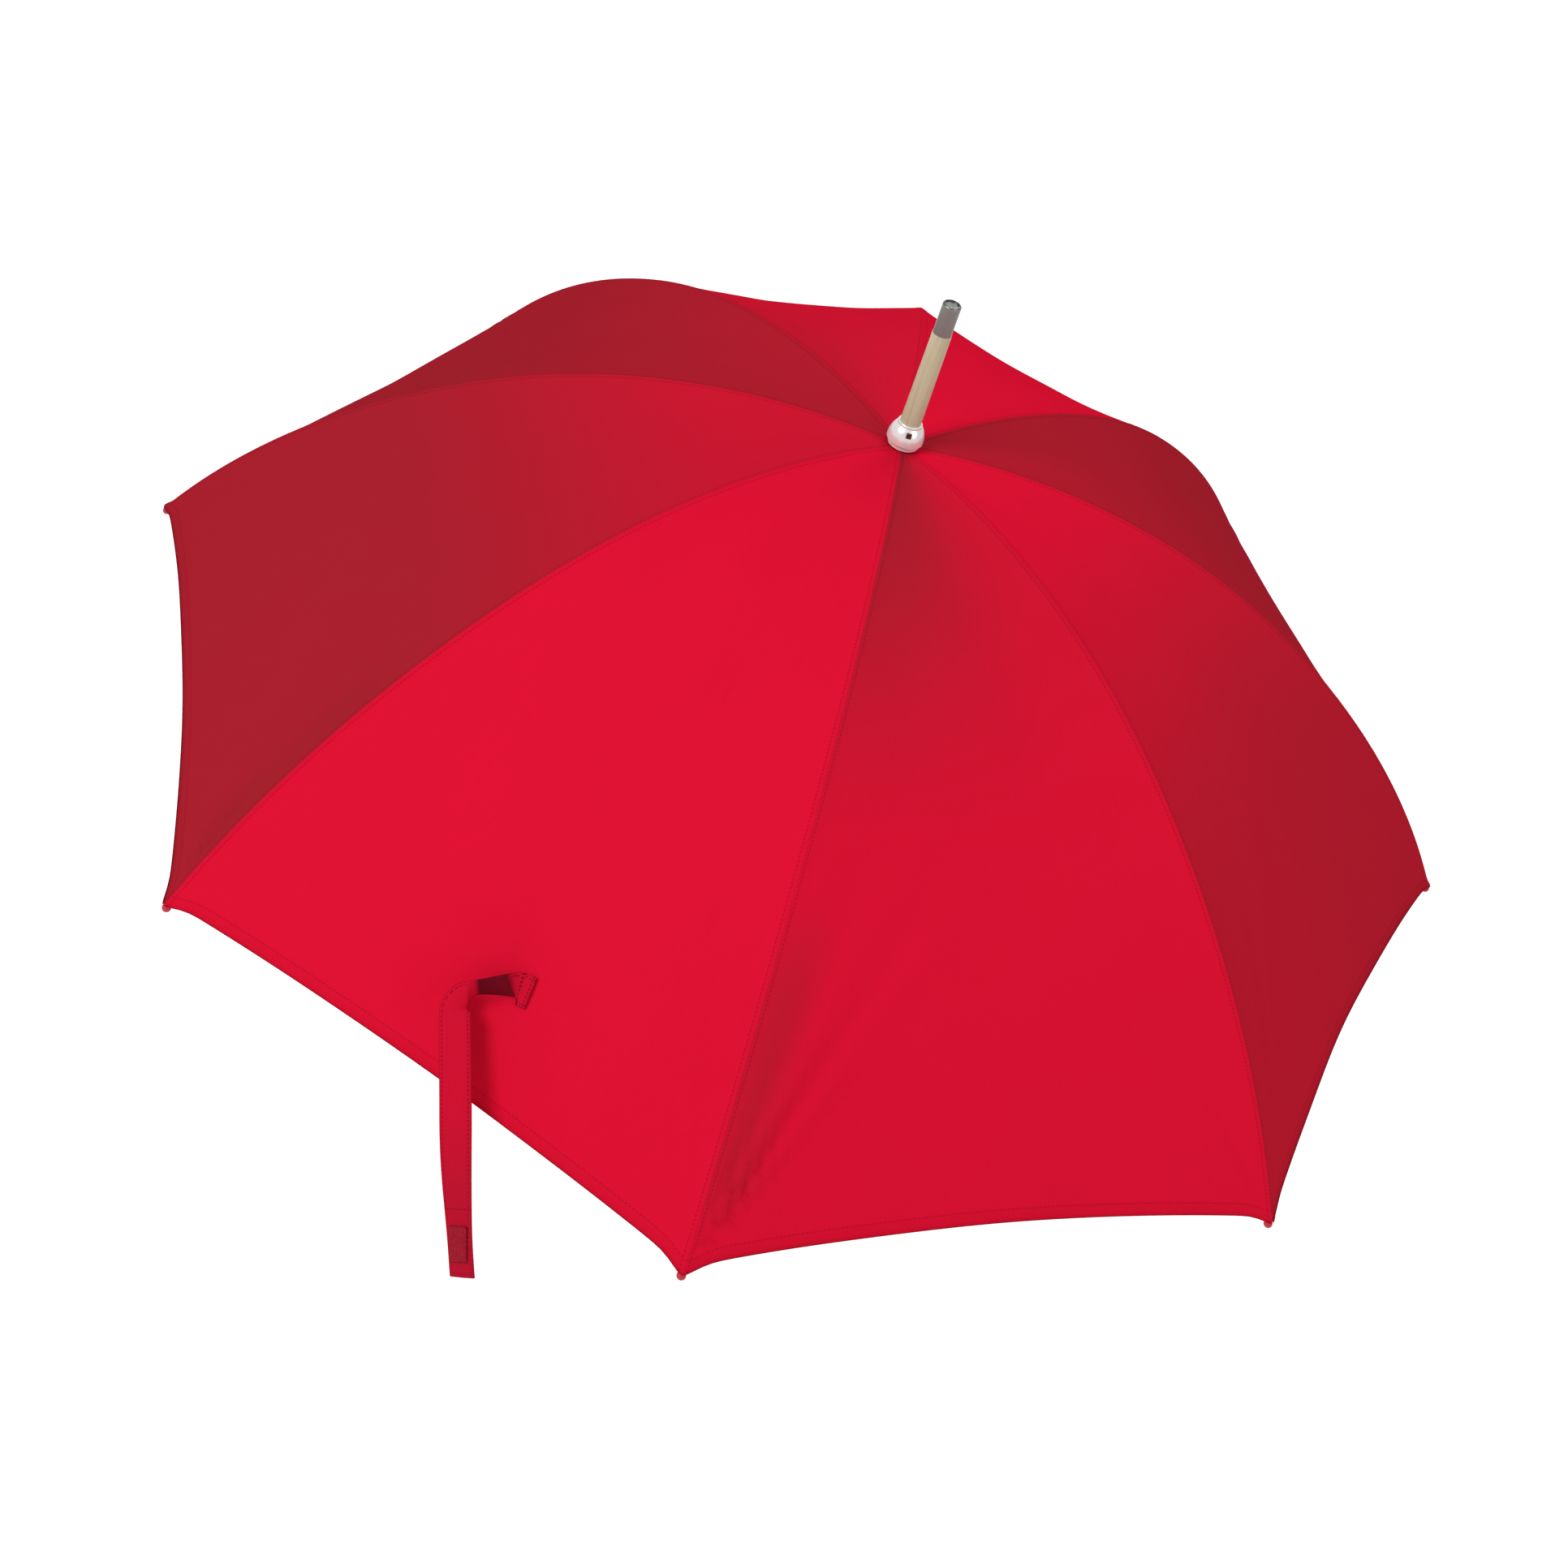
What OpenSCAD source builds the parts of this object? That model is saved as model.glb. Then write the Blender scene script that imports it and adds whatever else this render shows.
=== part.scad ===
// Stick umbrella, standing on its axis with the canopy open.
// +Z runs up the shaft to the ferrule. The origin is on the shaft axis, in the hand grip.
// All sizes are in millimetres. Every named node below is one physical piece.

/* [Canopy] */
// Length of cloth from the shaft axis to a rib tip
rib_length = 600; // [560:10:640]
// Number of ribs, and of cloth gores
rib_count = 8; // [8:8]
// Slope of the cloth where it leaves the crown, below the horizontal, in degrees
start_slope = -7; // [-9:0.1:-4]
// Slope of a rib at its knee, in degrees
knee_slope = 27.7; // [26:0.1:29]
// Slope of a rib at its tip, in degrees
tip_slope = 54.2; // [52:0.1:58]
// Thickness of the cloth solid
cloth = 1; // [0.8:0.1:1.2]
// How far the middle of a gore hangs below its straight chord
gore_sag = 7; // [4:1:12]
// How far the hem curves in between two tips
hem_scallop = 11; // [6:1:20]

/* [Shaft] */
// Diameter of the wooden shaft
shaft_d = 14.6; // [14:0.1:15]
// Height of the rib pivots above the grip origin
crown_z = 668; // [660:1:690]
// Height of the ferrule's end above the rib pivots
ferrule_rise = 115; // [105:1:130]
// Length of the metal end of the ferrule
tip_length = 22; // [20:1:30]
// Diameter of the metal end of the ferrule
tip_d = 12.8; // [12:0.1:13.4]

/* [Frame] */
// Radius of the wire that the rib roots hang on
pivot_radius = 12; // [12:0.1:12.4]
// Width of a rib channel
channel_w = 3.4; // [3:0.1:3.6]
// Diameter of the springy outer rod of a rib
rod_d = 3; // [2.6:0.1:3.2]
// Width of the closing strap
strap_w = 20; // [16:1:24]

/* [Handle] */
// Diameter of the crook handle
grip_d = 21; // [19:1:24]
// Radius of the crook's bend, to its centre line
crook_radius = 38; // [34:1:44]
// Height of the top of the handle
grip_top = 44; // [40:1:48]
// Depth of the straight part of the handle below the origin
grip_drop = 44; // [30:1:60]

/* [Hidden] */
NODES = [
  "shaft", "ferrule_tip", "crown_cap", "cap_tack", "crown_washer", "top_notch", "notch_wire",
  "rib_inner_1", "rib_inner_2", "rib_inner_3", "rib_inner_4",
  "rib_inner_5", "rib_inner_6", "rib_inner_7", "rib_inner_8",
  "rib_outer_1", "rib_outer_2", "rib_outer_3", "rib_outer_4",
  "rib_outer_5", "rib_outer_6", "rib_outer_7", "rib_outer_8",
  "rib_tip_1", "rib_tip_2", "rib_tip_3", "rib_tip_4",
  "rib_tip_5", "rib_tip_6", "rib_tip_7", "rib_tip_8",
  "stretcher_1", "stretcher_2", "stretcher_3", "stretcher_4",
  "stretcher_5", "stretcher_6", "stretcher_7", "stretcher_8",
  "canopy_gore_1", "canopy_gore_2", "canopy_gore_3", "canopy_gore_4",
  "canopy_gore_5", "canopy_gore_6", "canopy_gore_7", "canopy_gore_8",
  "runner", "runner_wire", "stop_pin", "top_catch", "bottom_catch", "catch_pins",
  "handle", "handle_collar", "strap_tab", "strap", "strap_patch"
];
node = "all";

$fn = 48;
fine = 24; // facets round a small pin or bore
eps = 0.01; // cuts run this far past a face
rib_step = 360 / rib_count; // angle between two ribs

// rib centre line: two circular arcs in the plane of the rib, as [radius, height]
knee_share = 0.5; // the knee is half way along the cloth
inner_length = rib_length * knee_share - pivot_radius;
outer_length = rib_length * (1 - knee_share);
inner_bend = inner_length / ((knee_slope - start_slope) * PI / 180);
outer_bend = outer_length / ((tip_slope - knee_slope) * PI / 180);
function normal_at(slope) = [sin(slope), cos(slope)];
root = [pivot_radius, crown_z];
inner_centre = root - inner_bend * normal_at(start_slope);
knee = inner_centre + inner_bend * normal_at(knee_slope);
outer_centre = knee - outer_bend * normal_at(knee_slope);
function inner_angle(distance) = start_slope + distance / inner_bend * 180 / PI;
function outer_angle(distance) = knee_slope + distance / outer_bend * 180 / PI;
// point of the centre line at a distance along the cloth, raised along its normal
function rib_point(s, rise) =
  s < rib_length * knee_share
  ? inner_centre + (inner_bend + rise) * normal_at(inner_angle(s - pivot_radius))
  : outer_centre + (outer_bend + rise) * normal_at(outer_angle(s - rib_length * knee_share));

// linkage: the rib from crown to knee is as long as the stretcher
stretcher_length = norm(knee - root);
knee_drop = crown_z - knee[1];
rest_angle = asin(knee_drop / stretcher_length);
closed_angle = 87; // slope of the crown-to-knee line when folded
runner_z = crown_z - 2 * knee_drop;
runner_closed_z = crown_z - 2 * stretcher_length * sin(closed_angle);

// rib section, measured from the centre line
channel_top = 2.6;
channel_bottom = -1.5;
channel_wall = 0.5;
rod_rise = channel_top - rod_d / 2;
cloth_gap = 0.9; // air between the ribs and the cloth
cloth_rise = channel_top + cloth_gap;

// pivots
eye_r = 1.9; // eye of a rib or stretcher
eye_bore_r = 0.8; // bore for the pivot wire
wire_r = 0.6;
tongue_w = 1.6; // flattened end that sits in a slot
slot_w = 2.2;
tongue_end = 7; // distance from the pivot to the full-width section
knee_pin_r = 0.8;
knee_bore_r = 0.86;
cheek_r = 2.2; // eye of the fork cheeks at the knee
cheek_in = 0.85; // inside of the outer rib's fork, from the rib plane
cheek_out = 1.65;
arm_in = 1.95; // inside of the stretcher's fork
arm_out = 2.6;
head_r = 1.5; // head of the knee pin
head_out = 3.2;
head_in = 2.7;
block_start = 5.5; // solid part of the knee fork begins this far from the pin
block_end = 16;
arm_bridge = 15; // the stretcher's cheeks join this far from the pin

// hubs
shaft_r = shaft_d / 2;
hub_r = 15.3;
hub_slot_r = 9.7; // inner end of the slots
hub_near = 2; // hub face on the side away from the folding arms
hub_far = 4.3; // hub face on the side that the arms fold to
running = 0.4; // radial gap of the runner on the shaft
sleeve_r = 10.9;
sleeve_length = 40;
sleeve_flare_r = 12.6;
window_w = 3.8;
window_top = 12; // below the runner's pivots
window_bottom = 31;
catch_azimuth = rib_step / 2;
catch_w = 2.4;
catch_slot_w = 3;
catch_slot_floor = 1.2; // radius of the bottom of the slot in the shaft
catch_length = 20; // pin to shoulder
catch_flush = 0.4; // a pressed catch lies this far below the wood
catch_pin_at = 4.4; // radius of the pin from the shaft axis
catch_pin_r = 0.6;
catch_eye_r = 2;
top_catch_z = runner_z - sleeve_length - 0.7 - catch_length;
bottom_catch_z = runner_closed_z - 6;

// crown cap
cap_base = crown_z + 5.1;
cap_height = 18;
cap_r = 13;
cap_foot = 4; // the dome stands on a narrower foot
cap_foot_r = 11;
cap_skirt = 1; // straight edge under the dome
cap_rise = 15.2; // the dome is part of an ellipse this high
cap_neck_r = 8.7;
tack_z = cap_base + cap_foot + 9;
tack_azimuth = 142;
tack_r = 0.7;
tack_depth = 4;
tack_head = 3.6; // square head
tack_seat = 10.2; // radius of the flat that the head sits on
stop_pin_r = 0.8;
stop_pin_half = 9.6;
cloth_start = 8.6;
cloth_end = rib_length - 9;
seam_gap = 0.25;
knee_tongue_w = 1.3;

// strap: sewn on the gore between ribs 3 and 4
strap_gore = 3;
strap_share = 0.852; // share of the cloth length at the sewn end
strap_across = 0.16; // its place across the gore, from -1 at rib 3 to 1 at rib 4
strap_tab = 8; // sewn end, up to the seat point
strap_thick = 1.2;
strap_lift = 1.1; // strap centre above the cloth surface
strap_steps = 22;
strap_side_run = 31; // length sewn down and turned out sideways
strap_turn_run = 26; // length of the turn from sideways to hanging
strap_hang_run = 138; // length that hangs free
strap_fall = [-0.748, 0.315, -0.598]; // direction in which it hangs

// rib k stands at this angle round the shaft
function azimuth(k) = (k - 1) * rib_step;

// a point on the cloth: s along the ribs, w across the gore from -1 to 1
function hem_short(w) = hem_scallop * (1 - w * w);
function sag(t, w) = gore_sag * (1 - w * w) * sin(min(150, 165 * t));
function gore_point(k, t, w, rise) =
  let (
    near = cloth_start,
    far = cloth_end - hem_short(w),
    s = near + (far - near) * t,
    p = rib_point(s, cloth_rise + rise - sag(t, w)),
    half = rib_step / 2,
    // straight chord between the two ribs, moved in by a hair so that gores don't touch
    y = p[0] * sin(half) * w * (1 - seam_gap / (p[0] * sin(half))),
    x = p[0] * cos(half),
    a = azimuth(k) + half
  )
  [x * cos(a) - y * sin(a), x * sin(a) + y * cos(a), p[1]];
gore_rows = 16;
gore_columns = 8;

// arc swept about a centre in the rib plane; the 2D child is [outward offset, sideways]
module arc_sweep(centre, bend, from, to) {
  translate([centre[0], 0, centre[1]])
  rotate([-90, -90, 0])
  rotate([0, 0, from])
  rotate_extrude(angle = to - from, $fn = 240)
  translate([bend, 0])
  children();
}

// things that lie in the plane of rib k
module at_rib(k) {
  rotate([0, 0, azimuth(k)])
  children();
}

// cylinder across the rib plane
module cross_pin(at, r, from, to) {
  translate([at[0], from, at[1]])
  rotate([-90, 0, 0])
  cylinder(r = r, h = to - from, $fn = fine);
}

// flat bar in the rib plane from a point, at a slope below the horizontal
module flat_bar(at, slope, from, to, low, high, side_from, side_to) {
  translate([at[0], 0, at[1]])
  rotate([0, slope, 0])
  translate([from, side_from, low])
  cube([to - from, side_to - side_from, high - low]);
}

// 2D shape drawn along X with its normal up, as a plate in the rib plane
module side_plate(at, slope, side_from, side_to) {
  translate([at[0], side_to, at[1]])
  rotate([0, slope, 0])
  rotate([90, 0, 0])
  linear_extrude(height = side_to - side_from)
  children();
}

module shaft() {
  top = crown_z + ferrule_rise - tip_length;
  color("burlywood")
  difference() {
    union() {
      translate([0, 0, grip_top - 30])
      cylinder(r = shaft_r, h = cap_base + cap_height - grip_top + 30);
      translate([0, 0, cap_base + cap_height - eps])
      cylinder(r1 = shaft_r, r2 = shaft_r - 0.6, h = top - cap_base - cap_height + eps);
      translate([0, 0, top - eps])
      cylinder(r = shaft_r - 2.6, h = 16);
    }
    catch_slot(top_catch_z, 1);
    catch_slot(bottom_catch_z, -1);
    for (z = [top_catch_z, bottom_catch_z])
      shaft_cross_bore(z, catch_pin_at, catch_pin_r);
    rotate([0, 0, catch_azimuth])
    translate([0, 0, runner_z + hub_far + 1.5])
    rotate([0, 90, 0])
    cylinder(r = stop_pin_r, h = 40, center = true, $fn = fine);
    rotate([0, 0, tack_azimuth])
    translate([shaft_r - tack_depth, 0, tack_z])
    rotate([0, 90, 0])
    cylinder(r = tack_r, h = 10, $fn = fine);
  }
}

// slot for a catch; it opens from its pin towards up (1) or down (-1)
module catch_slot(z, way) {
  rotate([0, 0, catch_azimuth])
  translate([catch_slot_floor, -catch_slot_w / 2, way > 0 ? z - 3 : z - catch_length - 1.5])
  cube([shaft_r, catch_slot_w, catch_length + 4.5]);
}

module shaft_cross_bore(z, at, r) {
  rotate([0, 0, catch_azimuth])
  translate([at, 0, z])
  rotate([90, 0, 0])
  cylinder(r = r, h = 3 * shaft_r, center = true, $fn = fine);
}

// sprung catch, lying pressed in its slot
module catch_lever(z, way) {
  edge = shaft_r - catch_flush;
  color("silver")
  rotate([0, 0, catch_azimuth])
  translate([0, 0, z])
  rotate([90, 0, 0])
  mirror([0, way < 0 ? 1 : 0, 0])
  difference() {
    linear_extrude(height = catch_w, center = true)
    union() {
      translate([catch_pin_at, 0])
      circle(r = catch_eye_r, $fn = fine);
      polygon([
        [catch_pin_at - 1.3, 0],
        [catch_pin_at + 1.6, 1.2],
        [edge, 5],
        [edge, catch_length],
        [edge - 3, catch_length],
        [catch_pin_at - 0.6, 12]
      ]);
    }
    translate([catch_pin_at, 0])
    cylinder(r = catch_pin_r + 0.08, h = 2 * catch_w, center = true, $fn = fine);
  }
}

module top_catch() {
  catch_lever(top_catch_z, 1);
}

module bottom_catch() {
  catch_lever(bottom_catch_z, -1);
}

// the two short pins that the catches turn on
module catch_pins() {
  color("silver")
  for (z = [top_catch_z, bottom_catch_z])
    rotate([0, 0, catch_azimuth])
    translate([catch_pin_at, 0, z])
    rotate([90, 0, 0])
    cylinder(r = catch_pin_r, h = 10, center = true, $fn = fine);
}

module stop_pin() {
  color("silver")
  rotate([0, 0, catch_azimuth])
  translate([0, 0, runner_z + hub_far + 1.5])
  rotate([0, 90, 0])
  cylinder(r = stop_pin_r, h = 2 * stop_pin_half, center = true, $fn = fine);
}

module ferrule_tip() {
  r = tip_d / 2;
  top = crown_z + ferrule_rise;
  base = top - tip_length;
  round_r = 1.5;
  color("dimgray")
  difference() {
    rotate_extrude()
    union() {
      translate([0, base])
      square([r, tip_length - round_r]);
      translate([0, top - round_r - eps])
      square([r - round_r, round_r + eps]);
      intersection() {
        translate([r - round_r, top - round_r])
        circle(r = round_r);
        translate([0, top - round_r - eps])
        square([r, round_r + 1]);
      }
    }
    translate([0, 0, base - eps])
    cylinder(r = shaft_r - 2.6, h = 18 - 1);
    // shallow dish in the end
    translate([0, 0, top - 1.2])
    cylinder(r = r - round_r, h = 2);
  }
}

module crown_cap() {
  end = acos(cap_neck_r / cap_r);
  color("silver")
  difference() {
    rotate_extrude()
    translate([0, cap_base])
    difference() {
      polygon(concat(
        [[shaft_r + 0.1, 0], [cap_foot_r, 0], [cap_foot_r, cap_foot], [cap_r, cap_foot]],
        [
          for (i = [0:12])
            let (a = end * i / 12)
            [cap_r * cos(a), cap_foot + cap_skirt + cap_rise * sin(a)]
        ],
        [
          [cap_neck_r, cap_height - 0.5],
          [cap_neck_r - 0.5, cap_height],
          [shaft_r + 0.1, cap_height]
        ]
      ));
      polygon([
        [0, -1],
        [cap_foot_r - 0.8, -1],
        [cap_foot_r - 0.8, cap_foot + 3],
        [cap_foot_r - 1.4, cap_foot + 6],
        [shaft_r + 0.1, cap_foot + 7.2],
        [0, cap_foot + 7.2]
      ]);
    }
    rotate([0, 0, tack_azimuth])
    translate([0, 0, tack_z])
    rotate([0, 90, 0])
    union() {
      translate([0, 0, shaft_r])
      cylinder(r = tack_r + 0.05, h = 20, $fn = fine);
      translate([-tack_head / 2 - 0.05, -tack_head / 2 - 0.05, tack_seat - 0.05])
      cube([tack_head + 0.1, tack_head + 0.1, 8]);
    }
  }
}

// small tack that holds the cap to the wood
module cap_tack() {
  color("gray")
  rotate([0, 0, tack_azimuth])
  translate([0, 0, tack_z])
  rotate([0, 90, 0])
  union() {
    translate([0, 0, shaft_r - tack_depth])
    cylinder(r = tack_r, h = tack_seat + 0.5 - shaft_r + tack_depth, $fn = fine);
    translate([-tack_head / 2, -tack_head / 2, tack_seat])
    cube([tack_head, tack_head, 1.6]);
  }
}

// disc that keeps the cloth off the slotted hub
module crown_washer() {
  color("black")
  translate([0, 0, crown_z + hub_near + 0.05])
  difference() {
    union() {
      cylinder(r = hub_slot_r - 0.2, h = 0.8);
      translate([0, 0, 0.4])
      cylinder(r = pivot_radius + 0.4, h = 0.4);
    }
    translate([0, 0, -1])
    cylinder(r = shaft_r + 0.1, h = 3);
  }
}

// slotted ring; its arms fold towards -Z (way 1) or +Z (way -1)
module hub(z, way, bore) {
  low = way > 0 ? -hub_far : -hub_near;
  high = way > 0 ? hub_near : hub_far;
  translate([0, 0, z])
  difference() {
    translate([0, 0, low])
    cylinder(r = hub_r, h = high - low);
    translate([0, 0, low - 1])
    cylinder(r = bore, h = high - low + 2);
    // groove for the wire, open on the flat side
    rotate_extrude()
    translate([pivot_radius - wire_r - 0.05, way > 0 ? -wire_r - 0.05 : -hub_near - 1])
    square([2 * wire_r + 0.1, wire_r + 0.05 + hub_near + 1]);
    for (k = [1:rib_count])
      at_rib(k)
      translate([hub_slot_r, -slot_w / 2, low - 1])
      cube([hub_r, slot_w, high - low + 2]);
  }
}

module hub_wire(z) {
  color("silver")
  translate([0, 0, z])
  rotate_extrude()
  translate([pivot_radius, 0])
  circle(r = wire_r, $fn = fine);
}

module top_notch() {
  color("dimgray")
  hub(crown_z, 1, shaft_r + 0.05);
}

module notch_wire() {
  hub_wire(crown_z);
}

module runner() {
  bore = shaft_r + running;
  color("dimgray")
  union() {
    hub(runner_z, -1, bore);
    difference() {
      rotate_extrude()
      translate([0, runner_z])
      polygon([
        [bore, -sleeve_length],
        [sleeve_flare_r - 0.8, -sleeve_length],
        [sleeve_flare_r, -sleeve_length + 0.8],
        [sleeve_flare_r, -sleeve_length + 3],
        [sleeve_r, -sleeve_length + 6],
        [sleeve_r, -hub_near - 3],
        [hub_slot_r - 0.3, -hub_near - 1.2],
        [hub_slot_r - 0.3, -hub_near + eps],
        [bore, -hub_near + eps]
      ]);
      rotate([0, 0, catch_azimuth])
      translate([0, -window_w / 2, runner_z - window_bottom])
      cube([20, window_w, window_bottom - window_top]);
    }
  }
}

module runner_wire() {
  hub_wire(runner_z);
}

// fluted steel channel from the crown to the knee, open below
module rib_inner(k) {
  end_gap = 6; // the channel stops short of the knee and goes on as a tongue
  color("gainsboro")
  at_rib(k)
  difference() {
    union() {
      arc_sweep(inner_centre, inner_bend, inner_angle(tongue_end), inner_angle(inner_length - end_gap))
      channel_section();
      // root and knee tongues
      arc_sweep(inner_centre, inner_bend, start_slope, inner_angle(tongue_end + 6))
      translate([channel_bottom + 0.1, -tongue_w / 2])
      square([channel_top - channel_bottom - channel_wall, tongue_w]);
      cross_pin(root, eye_r, -tongue_w / 2, tongue_w / 2);
      arc_sweep(inner_centre, inner_bend, inner_angle(inner_length - end_gap - 8), knee_slope)
      translate([channel_bottom + 0.1, -knee_tongue_w / 2])
      square([channel_top - channel_bottom - channel_wall, knee_tongue_w]);
      cross_pin(knee, eye_r, -knee_tongue_w / 2, knee_tongue_w / 2);
    }
    cross_pin(root, eye_bore_r, -tongue_w, tongue_w);
    cross_pin(knee, knee_bore_r, -tongue_w, tongue_w);
  }
}

module channel_section() {
  half = channel_w / 2;
  translate([channel_top - channel_wall, -half])
  square([channel_wall, channel_w]);
  for (side = [-half, half - channel_wall])
    translate([channel_bottom, side])
    square([channel_top - channel_bottom, channel_wall]);
}

// glass-fibre rod from the knee to the tip, with its moulded knee fork and pin
module rib_outer(k) {
  block_half = cheek_out + 0.1;
  color("dimgray")
  at_rib(k)
  union() {
    arc_sweep(outer_centre, outer_bend, outer_angle(block_start + 4), outer_angle(outer_length - 4))
    translate([rod_rise, 0])
    circle(r = rod_d / 2, $fn = fine);
    // moulded block round the end of the rod
    arc_sweep(outer_centre, outer_bend, outer_angle(block_start), outer_angle(block_end))
    translate([channel_bottom, -block_half])
    square([channel_top - channel_bottom - 0.2, 2 * block_half]);
    for (side = [-cheek_out, cheek_in])
      side_plate(knee, knee_slope, side, side + cheek_out - cheek_in)
      union() {
        circle(r = cheek_r, $fn = fine);
        translate([0, -1.2])
        square([block_start + 2, 2.8]);
      }
    cross_pin(knee, knee_pin_r, -head_out + 0.1, head_out - 0.1);
    cross_pin(knee, head_r, head_in, head_out);
    cross_pin(knee, head_r, -head_out, -head_in);
  }
}

// coloured nub over the end of a rib
module rib_tip(k) {
  nub_r = 2.9;
  end = rib_point(rib_length, rod_rise);
  color("crimson")
  at_rib(k)
  difference() {
    union() {
      arc_sweep(outer_centre, outer_bend, outer_angle(outer_length - 8.2), tip_slope)
      translate([rod_rise, 0])
      circle(r = 2.3, $fn = 32);
      translate([end[0], 0, end[1]])
      sphere(r = nub_r, $fn = 32);
    }
    arc_sweep(outer_centre, outer_bend, outer_angle(outer_length - 9), outer_angle(outer_length - 3.9))
    translate([rod_rise, 0])
    circle(r = rod_d / 2 + 0.02, $fn = fine);
  }
}

// flat eye with a tail, drawn along X from its pivot
module eye_profile(r, bore, tail_to, half) {
  difference() {
    union() {
      circle(r = r, $fn = fine);
      translate([0, -half])
      square([tail_to, 2 * half]);
    }
    circle(r = bore, $fn = fine);
  }
}

// stretcher: tongue in the runner, channel bar open below, and a fork over the knee
module stretcher(k) {
  half = 1.4;
  foot = [pivot_radius, runner_z];
  slope = -rest_angle;
  length = stretcher_length;
  web_half = arm_out - 0.2;
  color("gainsboro")
  at_rib(k)
  union() {
    side_plate(foot, slope, -tongue_w / 2, tongue_w / 2)
    eye_profile(eye_r, eye_bore_r, tongue_end + 6, half);
    // solid heel round the tongue, then the web of the channel
    flat_bar(foot, slope, tongue_end, tongue_end + 7, -half + 0.1, half - 0.05, -web_half, web_half);
    flat_bar(foot, slope, tongue_end + 2, length - arm_bridge, half - 0.7, half - 0.1, -web_half, web_half);
    for (side = [-arm_out, arm_in])
      side_plate(foot, slope, side, side + arm_out - arm_in)
      difference() {
        union() {
          translate([tongue_end, -half])
          square([length - tongue_end, 2 * half]);
          translate([length, 0])
          circle(r = eye_r, $fn = fine);
        }
        translate([length, 0])
        circle(r = knee_bore_r, $fn = fine);
      }
  }
}

// one cloth gore as a thin closed sheet between ribs k and k + 1
module canopy_gore(k) {
  columns = gore_columns + 1;
  layer = (gore_rows + 1) * columns;
  points = [
    for (rise = [0, cloth])
      for (i = [0:gore_rows])
        for (j = [0:gore_columns])
          gore_point(k, i / gore_rows, 2 * j / gore_columns - 1, rise)
  ];
  under = [
    for (i = [0:gore_rows - 1])
      for (j = [0:gore_columns - 1])
        let (a = i * columns + j)
        each [[a, a + 1, a + columns], [a + 1, a + columns + 1, a + columns]]
  ];
  upper = [
    for (f = under)
      [f[2] + layer, f[1] + layer, f[0] + layer]
  ];
  ring = concat(
    [for (j = [0:gore_columns - 1]) j],
    [for (i = [0:gore_rows - 1]) i * columns + gore_columns],
    [for (j = [gore_columns:-1:1]) gore_rows * columns + j],
    [for (i = [gore_rows:-1:1]) i * columns]
  );
  count = len(ring);
  sides = [
    for (n = [0:count - 1])
      let (a = ring[n], b = ring[(n + 1) % count])
      each [[b, a, a + layer], [b, a + layer, b + layer]]
  ];
  color("crimson")
  polyhedron(points = points, faces = concat(under, upper, sides));
}

// crook handle: straight grip, half-round bend and a short upturned end
module handle() {
  r = grip_d / 2;
  color("saddlebrown")
  difference() {
    union() {
      translate([0, 0, -grip_drop])
      cylinder(r = r, h = grip_top + grip_drop);
      translate([crook_radius, 0, -grip_drop])
      rotate([-90, 0, 0])
      rotate_extrude(angle = 180, $fn = 96)
      translate([crook_radius, 0])
      circle(r = r);
      translate([2 * crook_radius, 0, -grip_drop])
      cylinder(r = r, h = 14);
      translate([2 * crook_radius, 0, -grip_drop + 14])
      sphere(r = r);
    }
    translate([0, 0, grip_top - 30])
    cylinder(r = shaft_r, h = 31);
  }
}

module handle_collar() {
  r = grip_d / 2 + 0.7;
  color("silver")
  rotate_extrude()
  difference() {
    polygon([
      [shaft_r + 0.05, grip_top - 9],
      [r, grip_top - 9],
      [r, grip_top + 1.6],
      [r - 1.4, grip_top + 3.4],
      [shaft_r + 0.05, grip_top + 3.4]
    ]);
    translate([0, grip_top - 20])
    square([grip_d / 2 + 0.05, 20.05]);
  }
}

// strap, as sections [centre, half width, half thickness]
function unit(v) = v / norm(v);
function mix(a, b, t) = a + (b - a) * t;
function ease(t) = t * t * (3 - 2 * t);
strap_hem = (rib_length * strap_share - cloth_start) / (cloth_end - cloth_start - hem_scallop);
strap_seat = gore_point(strap_gore, strap_hem, strap_across, cloth);
strap_down = unit(
  gore_point(strap_gore, strap_hem + 0.02, strap_across, cloth) - strap_seat
);
strap_left = unit(
  gore_point(strap_gore, strap_hem, strap_across - 0.1, cloth) - strap_seat
);
strap_out = unit(cross(strap_left, strap_down));
strap_slant = 51; // angle of the sewn end below the hoop of the canopy
strap_away = unit(strap_left * cos(strap_slant) + strap_down * sin(strap_slant));
strap_across_way = unit(strap_down * cos(strap_slant) - strap_left * sin(strap_slant));
fall = unit(strap_fall);
hang_side = unit(strap_left - fall * (strap_left * fall));
strap_total = strap_side_run + strap_turn_run + strap_hang_run;
// share of the turn made at a distance along the strap
function strap_turned(d) =
  ease(max(0, min(1, (d - strap_side_run) / strap_turn_run)));
function strap_lifted(d) = ease(min(1, max(0, (d - strap_tab - 6) / 12)));
function strap_heading(d) =
  unit(
    mix(strap_away + strap_out * 0.45 * strap_lifted(d), fall, strap_turned(d))
    + strap_out * 0.25 * sin(180 * strap_turned(d))
  );
function strap_width_way(d) =
  unit(mix(strap_across_way, -hang_side, strap_turned(d)));
strap_pitch = strap_total / strap_steps;
strap_split = 5; // section at which the free run begins
strap_gap = 0.3;
strap_line = [
  for (
    i = 0, p = strap_seat + strap_out * strap_lift - strap_away * strap_tab;
    i <= strap_steps;
    p = p + strap_heading((i + 0.5) * strap_pitch) * strap_pitch, i = i + 1
  ) p
];
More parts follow.
